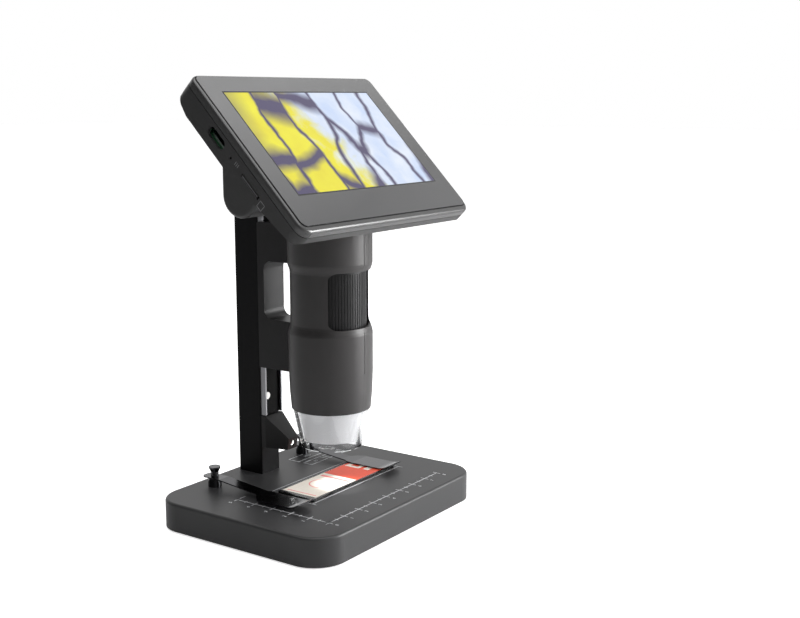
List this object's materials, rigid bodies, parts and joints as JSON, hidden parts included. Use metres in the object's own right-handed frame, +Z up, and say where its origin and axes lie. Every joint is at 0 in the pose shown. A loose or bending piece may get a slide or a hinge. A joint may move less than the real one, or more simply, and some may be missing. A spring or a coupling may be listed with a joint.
{
  "type": "lcd digital microscope",
  "caption": "Compact digital microscope with a leaning flat screen on a round camera barrel, carried by a square column on a dark stage base with two steel stage clips.",
  "frame": {"origin": "middle of the base's footprint on the surface the feet stand on", "axes": "+Z up, -Y the stage's front, +X the screen's right side; the height slide, focus and swing axes are parallel to Z"},
  "size_m": [0.1195, 0.0936, 0.1915],
  "materials": {
    "black_plastic": "satin moulded plastic",
    "black_metal": "black coated metal",
    "bare_aluminium": "drawn aluminium",
    "screw_steel": "zinc plated steel",
    "polished_steel": "bright nickel plated steel",
    "ballast_iron": "dark cast weight",
    "foot_rubber": "soft rubber",
    "clear_plastic": "clear moulded plastic",
    "frosted_plastic": "frosted plastic",
    "label_paper": "printed paper label",
    "lamp_white": "lit diode",
    "green_board": "circuit board with solder mask",
    "sensor_glass": "coated sensor window",
    "lens_glass": "coated lens",
    "wheel_plastic": "ribbed grip plastic",
    "bush_plastic": "bearing plastic",
    "cover_glass": "smooth cover glass",
    "screen_picture": "lit screen picture",
    "cell_wrap": "foil wrapped cell",
    "card_plastic": "card plastic",
    "key_plastic": "glossy key cap"
  },
  "bodies": {
    "base": {"base_shell": "black_plastic", "base_plate": "black_plastic", "base_feet": "foot_rubber", "base_screws": "screw_steel", "ballast_weight": "ballast_iron", "column": "black_metal", "column_cap": "black_plastic", "column_screws": "screw_steel", "guide_channel": "bare_aluminium", "channel_strip": "black_plastic", "channel_screws": "screw_steel", "lamp_housing": "black_plastic", "lamp_lens": "clear_plastic", "lamp_board": "lamp_white", "clip_posts": "polished_steel"},
    "clip_left": {"stage_clip_left": "polished_steel"},
    "clip_right": {"stage_clip_right": "polished_steel"},
    "slide": {"specimen_slide": "clear_plastic", "slide_label": "label_paper"},
    "carriage": {"carriage": "black_plastic", "carriage_screws": "screw_steel", "barrel_left": "black_plastic", "barrel_right": "black_plastic", "barrel_screws": "screw_steel", "clear_tip": "clear_plastic", "tip_diffuser": "frosted_plastic", "led_board": "green_board", "stage_leds": "lamp_white", "guide_sleeve": "black_plastic", "sensor_board": "green_board", "image_sensor": "sensor_glass", "hinge_pin": "screw_steel"},
    "lock_knob": {"lock_knob": "black_plastic"},
    "focus_wheel": {"focus_wheel": "wheel_plastic"},
    "lens_tube": {"lens_tube": "black_metal", "front_lens": "lens_glass", "rear_lens": "lens_glass", "lens_ring": "black_metal"},
    "head": {"hinge_bushes": "bush_plastic", "rear_shell": "black_plastic", "front_bezel": "black_plastic", "display_glass": "cover_glass", "lcd_module": "screen_picture", "battery": "cell_wrap", "main_board": "green_board", "side_board": "green_board", "usb_port": "polished_steel", "card_socket": "polished_steel", "key_board": "green_board", "head_screws": "screw_steel"},
    "memory_card": {"memory_card": "card_plastic"},
    "power_key": {"power_key": "key_plastic"},
    "menu_key": {"menu_key": "key_plastic"},
    "up_key": {"up_key": "key_plastic"},
    "ok_key": {"ok_key": "key_plastic"},
    "down_key": {"down_key": "key_plastic"}
  },
  "joints": [
    {"name": "carriage_height", "type": "slide", "parent": "base", "child": "carriage", "axis": [0, 0, 1], "range_m": [-0.012, 0.03]},
    {"name": "height_lock", "type": "hinge", "parent": "carriage", "child": "lock_knob", "pos_m": [0, 0.02665, 0.074], "axis": [1, 0, 0], "range_deg": [-180, 180]},
    {"name": "focus_turn", "type": "hinge", "parent": "carriage", "child": "focus_wheel", "pos_m": [0, -0.0062, 0], "axis": [0, 0, 1], "range_deg": [-140, 140]},
    {"name": "focus_travel", "type": "slide", "parent": "carriage", "child": "lens_tube", "axis": [0, 0, 1], "range_m": [-0.0036, 0.0036]},
    {"name": "head_tilt", "type": "hinge", "parent": "carriage", "child": "head", "pos_m": [0, -0.0083, 0.1459], "axis": [1, 0, 0], "range_deg": [-25, 10]},
    {"name": "left_clip_swing", "type": "hinge", "parent": "base", "child": "clip_left", "pos_m": [-0.0305, 0.036, 0], "axis": [0, 0, 1], "range_deg": [-35, 15]},
    {"name": "right_clip_swing", "type": "hinge", "parent": "base", "child": "clip_right", "pos_m": [0.0305, 0.036, 0], "axis": [0, 0, -1], "range_deg": [-35, 15]},
    {"name": "slide_shift", "type": "slide", "parent": "base", "child": "slide", "axis": [0, -1, 0], "range_m": [0, 0.015]},
    {"name": "card_pull", "type": "slide", "parent": "head", "child": "memory_card", "axis": [-1, 0, 0], "range_m": [0, 0.013]},
    {"name": "power_press", "type": "slide", "parent": "head", "child": "power_key", "axis": [-1, 0, 0], "range_m": [0, 0.0006], "stiffness_N_per_m": 900},
    {"name": "menu_press", "type": "slide", "parent": "head", "child": "menu_key", "axis": [-1, 0, 0], "range_m": [0, 0.0006], "stiffness_N_per_m": 900},
    {"name": "up_press", "type": "slide", "parent": "head", "child": "up_key", "axis": [-1, 0, 0], "range_m": [0, 0.0006], "stiffness_N_per_m": 900},
    {"name": "ok_press", "type": "slide", "parent": "head", "child": "ok_key", "axis": [-1, 0, 0], "range_m": [0, 0.0006], "stiffness_N_per_m": 900},
    {"name": "down_press", "type": "slide", "parent": "head", "child": "down_key", "axis": [-1, 0, 0], "range_m": [0, 0.0006], "stiffness_N_per_m": 900}
  ],
  "couplings": [
    {"joint": "focus_turn", "follows": "focus_travel", "rad_per_m": 666.67}
  ]
}
